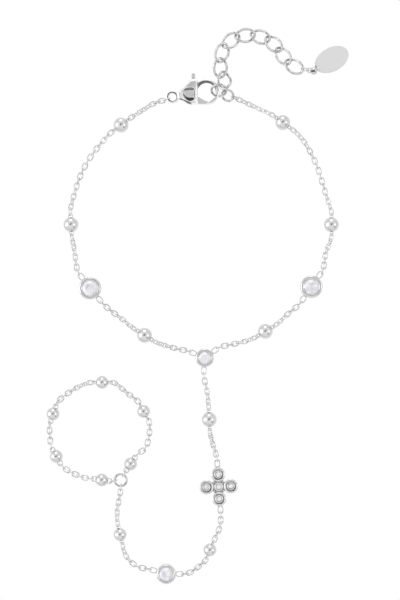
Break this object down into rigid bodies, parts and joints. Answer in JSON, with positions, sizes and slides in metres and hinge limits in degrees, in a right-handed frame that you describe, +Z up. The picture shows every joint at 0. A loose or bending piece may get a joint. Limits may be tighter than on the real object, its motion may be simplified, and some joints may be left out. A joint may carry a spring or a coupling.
{
  "type": "hand chain bracelet",
  "caption": "Fine cable chain bracelet with round beads and stone bezels, joined by a second chain with a clover charm to a finger loop; lobster clasp and extension chain.",
  "frame": {"origin": "centre of the bounding box at its bottom, on the surface the piece lies on", "axes": "+Z up from the surface, +Y from the finger loop towards the clasp, +X to the right as seen from above"},
  "size_m": [0.0604, 0.1111, 0.003],
  "materials": {
    "steel": "mirror polished",
    "satin_steel": "fine satin",
    "crystal": "faceted, polished"
  },
  "bodies": {
    "bracelet": {"bracelet_chain_left": "steel", "bracelet_chain_right": "steel", "hand_chain": "steel", "finger_chain": "steel", "bracelet_bead_1": "steel", "bracelet_bead_2": "steel", "bracelet_bead_3": "steel", "bracelet_bead_4": "steel", "bracelet_bead_5": "steel", "bracelet_bead_6": "steel", "hand_bead_1": "steel", "hand_bead_2": "steel", "hand_bead_3": "steel", "finger_bead_1": "steel", "finger_bead_2": "steel", "finger_bead_3": "steel", "finger_bead_4": "steel", "finger_bead_5": "steel", "finger_bead_6": "steel", "bezel_left": "steel", "bezel_right": "steel", "bezel_centre": "steel", "bezel_lower": "steel", "stone_left": "crystal", "stone_right": "crystal", "stone_centre": "crystal", "stone_lower": "crystal", "clover_charm": "steel", "clover_stones": "crystal", "clasp_body": "steel", "connector_ring": "steel", "jump_ring": "steel", "finger_ring": "steel", "extender_link_1": "steel", "extender_link_2": "steel", "extender_link_3": "steel", "extender_link_4": "steel", "extender_link_5": "steel", "extender_link_6": "steel", "extender_link_7": "steel", "extender_link_8": "steel", "extender_link_9": "steel", "tag_link": "steel", "tag": "satin_steel"},
    "lever": {"clasp_lever": "steel"}
  },
  "joints": [
    {"name": "lever_hinge", "type": "hinge", "parent": "bracelet", "child": "lever", "pos_m": [-0.00112, 0.0425, 0.0011], "axis": [0, 0, 1], "range_deg": [0, 18], "stiffness_Nm_per_rad": 0.002, "springref_deg": -17.19}
  ]
}
